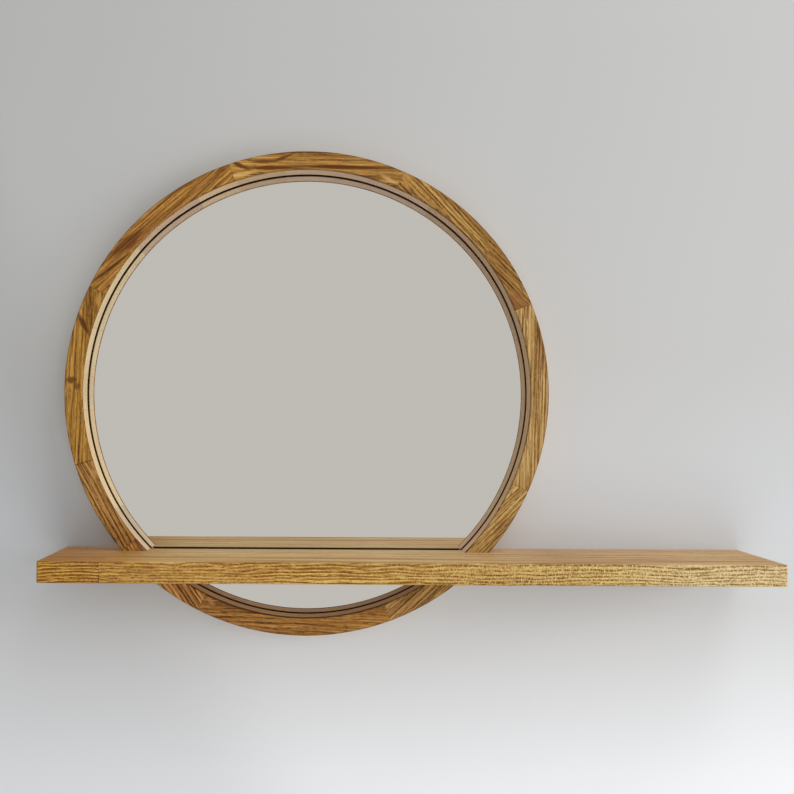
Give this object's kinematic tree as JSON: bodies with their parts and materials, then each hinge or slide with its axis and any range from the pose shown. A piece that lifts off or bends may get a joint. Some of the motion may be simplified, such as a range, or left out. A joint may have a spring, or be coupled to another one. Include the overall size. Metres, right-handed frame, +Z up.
{
  "type": "wall mirror with shelf",
  "caption": "Round wall mirror in a segmented oak ring, with a long oak shelf scribed over the ring's lower part and carried on hidden wall supports.",
  "frame": {"origin": "centre of the ring on the wall plane, at the back face of the hardboard back", "axes": "+X to the right along the shelf as seen from the front, +Y into the wall, +Z up"},
  "size_m": [0.858, 0.12, 0.6],
  "materials": {
    "ring_face_oak": "oiled oak, satin",
    "ring_wall_oak": "oiled oak, satin",
    "shelf_oak": "oiled oak, satin",
    "mirror_glass": "silvered float glass",
    "black_foam": "matt closed-cell foam",
    "hardboard": "smooth brown hardboard",
    "beech_dowel": "raw fluted beech",
    "zinc_screws": "yellowish zinc plating",
    "plate_steel": "zinc-plated steel"
  },
  "bodies": {
    "root": {"front_segment_1": "ring_face_oak", "front_segment_2": "ring_face_oak", "front_segment_3": "ring_face_oak", "front_segment_4": "ring_face_oak", "front_segment_5": "ring_face_oak", "front_segment_6": "ring_face_oak", "front_segment_7": "ring_face_oak", "front_segment_8": "ring_face_oak", "front_segment_9": "ring_face_oak", "rear_segment_1": "ring_wall_oak", "rear_segment_2": "ring_wall_oak", "rear_segment_3": "ring_wall_oak", "rear_segment_4": "ring_wall_oak", "rear_segment_5": "ring_wall_oak", "rear_segment_6": "ring_wall_oak", "rear_segment_7": "ring_wall_oak", "rear_segment_8": "ring_wall_oak", "rear_segment_9": "ring_wall_oak", "mirror_pane": "mirror_glass", "bedding_strip": "black_foam", "back_board": "hardboard", "back_screws": "zinc_screws", "shelf_front_stave_short": "shelf_oak", "shelf_front_stave_long": "shelf_oak", "shelf_middle_stave": "shelf_oak", "shelf_rear_stave_left": "shelf_oak", "shelf_rear_stave_centre": "shelf_oak", "shelf_rear_stave_right": "shelf_oak", "leg_dowels": "beech_dowel", "leg_screws": "zinc_screws", "keyhole_plate_left": "plate_steel", "keyhole_plate_right": "plate_steel", "keyhole_screws": "zinc_screws"}
  },
  "joints": []
}
